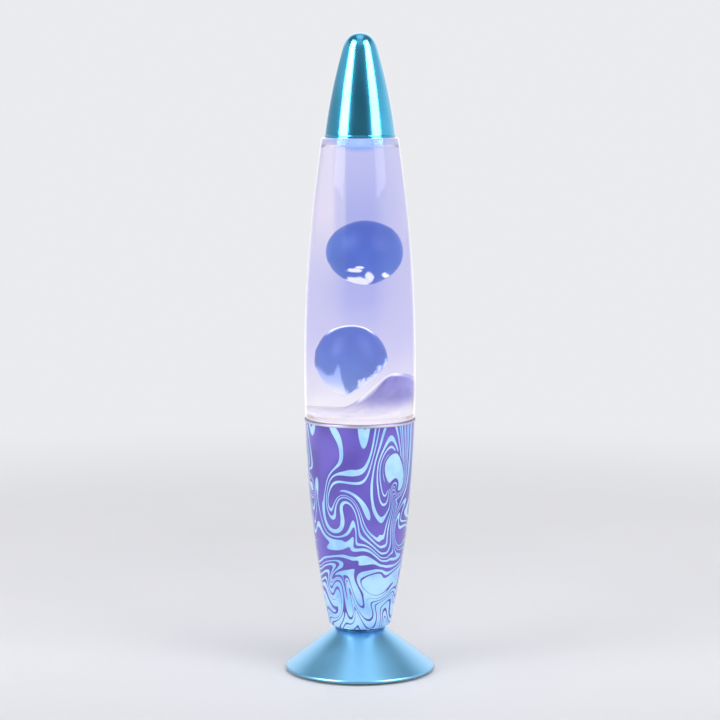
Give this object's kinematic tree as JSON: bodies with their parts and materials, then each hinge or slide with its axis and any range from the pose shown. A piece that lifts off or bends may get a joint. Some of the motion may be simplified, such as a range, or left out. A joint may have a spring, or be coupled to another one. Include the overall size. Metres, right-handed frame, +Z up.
{
  "type": "liquid motion lamp",
  "caption": "Table lamp with a sealed glass globe of liquid and rising wax on a printed housing, a flared metal foot and a bullet-shaped metal cap.",
  "frame": {"origin": "on the table, under the middle of the lamp", "axes": "+Z up through foot, globe and cap; the front faces -Y and the switch and cord outlet are at +Y"},
  "size_m": [0.0776, 0.0776, 0.33],
  "materials": {
    "foot_metal": "satin metallic light blue",
    "cover_plastic": "fine matt",
    "pad_rubber": "matt",
    "grommet_rubber": "matt",
    "steel": "zinc plated",
    "chrome": "bright",
    "housing_print": "gloss, marbled print",
    "seat_plastic": "fine matt",
    "holder_ceramic": "glazed",
    "brass": "bright",
    "switch_plastic": "matt",
    "lead_plastic": "smooth",
    "clear_glass": "clear",
    "lamp_liquid": "clear tinted liquid",
    "wax": "smooth, faintly translucent",
    "crown_metal": "lacquered",
    "liner_plastic": "soft",
    "cap_metal": "metallic teal, bright",
    "bulb_glass": "clear",
    "bulb_metal": "rolled",
    "bulb_insulator": "fused black",
    "tungsten": "drawn"
  },
  "bodies": {
    "base": {"foot_shell": "foot_metal", "base_cover": "cover_plastic", "foot_pads": "pad_rubber", "cord_grommet": "grommet_rubber", "lamp_pipe": "steel", "pipe_nut": "steel", "star_washer": "steel", "neck_collar": "chrome", "housing": "housing_print", "floor_washer": "steel", "rim_ring": "chrome", "globe_seat": "seat_plastic", "holder_body": "holder_ceramic", "holder_shell": "brass", "holder_contact": "brass", "switch_body": "switch_plastic", "switch_bushing": "chrome", "switch_nut": "chrome", "switch_terminals": "brass", "switch_lead": "lead_plastic"},
    "globe": {"glass_bottle": "clear_glass", "liquid": "lamp_liquid", "wax_pool": "wax", "heating_coil": "steel", "crown_cap": "crown_metal", "crown_liner": "liner_plastic"},
    "cap": {"top_cap": "cap_metal"},
    "bulb": {"bulb_glass": "bulb_glass", "bulb_base": "bulb_metal", "bulb_insulator": "bulb_insulator", "bulb_contact": "brass", "bulb_stem": "bulb_glass", "support_wires": "steel", "filament": "tungsten"},
    "switch_lever": {"switch_lever": "chrome"},
    "upper_wax": {"upper_wax": "wax"},
    "lower_wax": {"lower_wax": "wax"}
  },
  "joints": [
    {"name": "globe_lift", "type": "slide", "parent": "base", "child": "globe", "axis": [0, 0, 1], "range_m": [0, 0.08]},
    {"name": "cap_lift", "type": "slide", "parent": "globe", "child": "cap", "axis": [0, 0, 1], "range_m": [0, 0.06]},
    {"name": "bulb_turn", "type": "hinge", "parent": "base", "child": "bulb", "pos_m": [0, 0, 0.04135], "axis": [0, 0, 1], "continuous": true},
    {"name": "switch_toggle", "type": "hinge", "parent": "base", "child": "switch_lever", "pos_m": [0.00699, 0.01921, 0.01664], "axis": [-0.2709, -0.7443, 0.6105], "range_deg": [0, 24]},
    {"name": "upper_wax_rise", "type": "slide", "parent": "globe", "child": "upper_wax", "axis": [0, 0, 1], "range_m": [0, 0.022], "deforming": ["liquid"]},
    {"name": "lower_wax_rise", "type": "slide", "parent": "globe", "child": "lower_wax", "axis": [0, 0, 1], "range_m": [0, 0.014], "deforming": ["liquid"]}
  ]
}
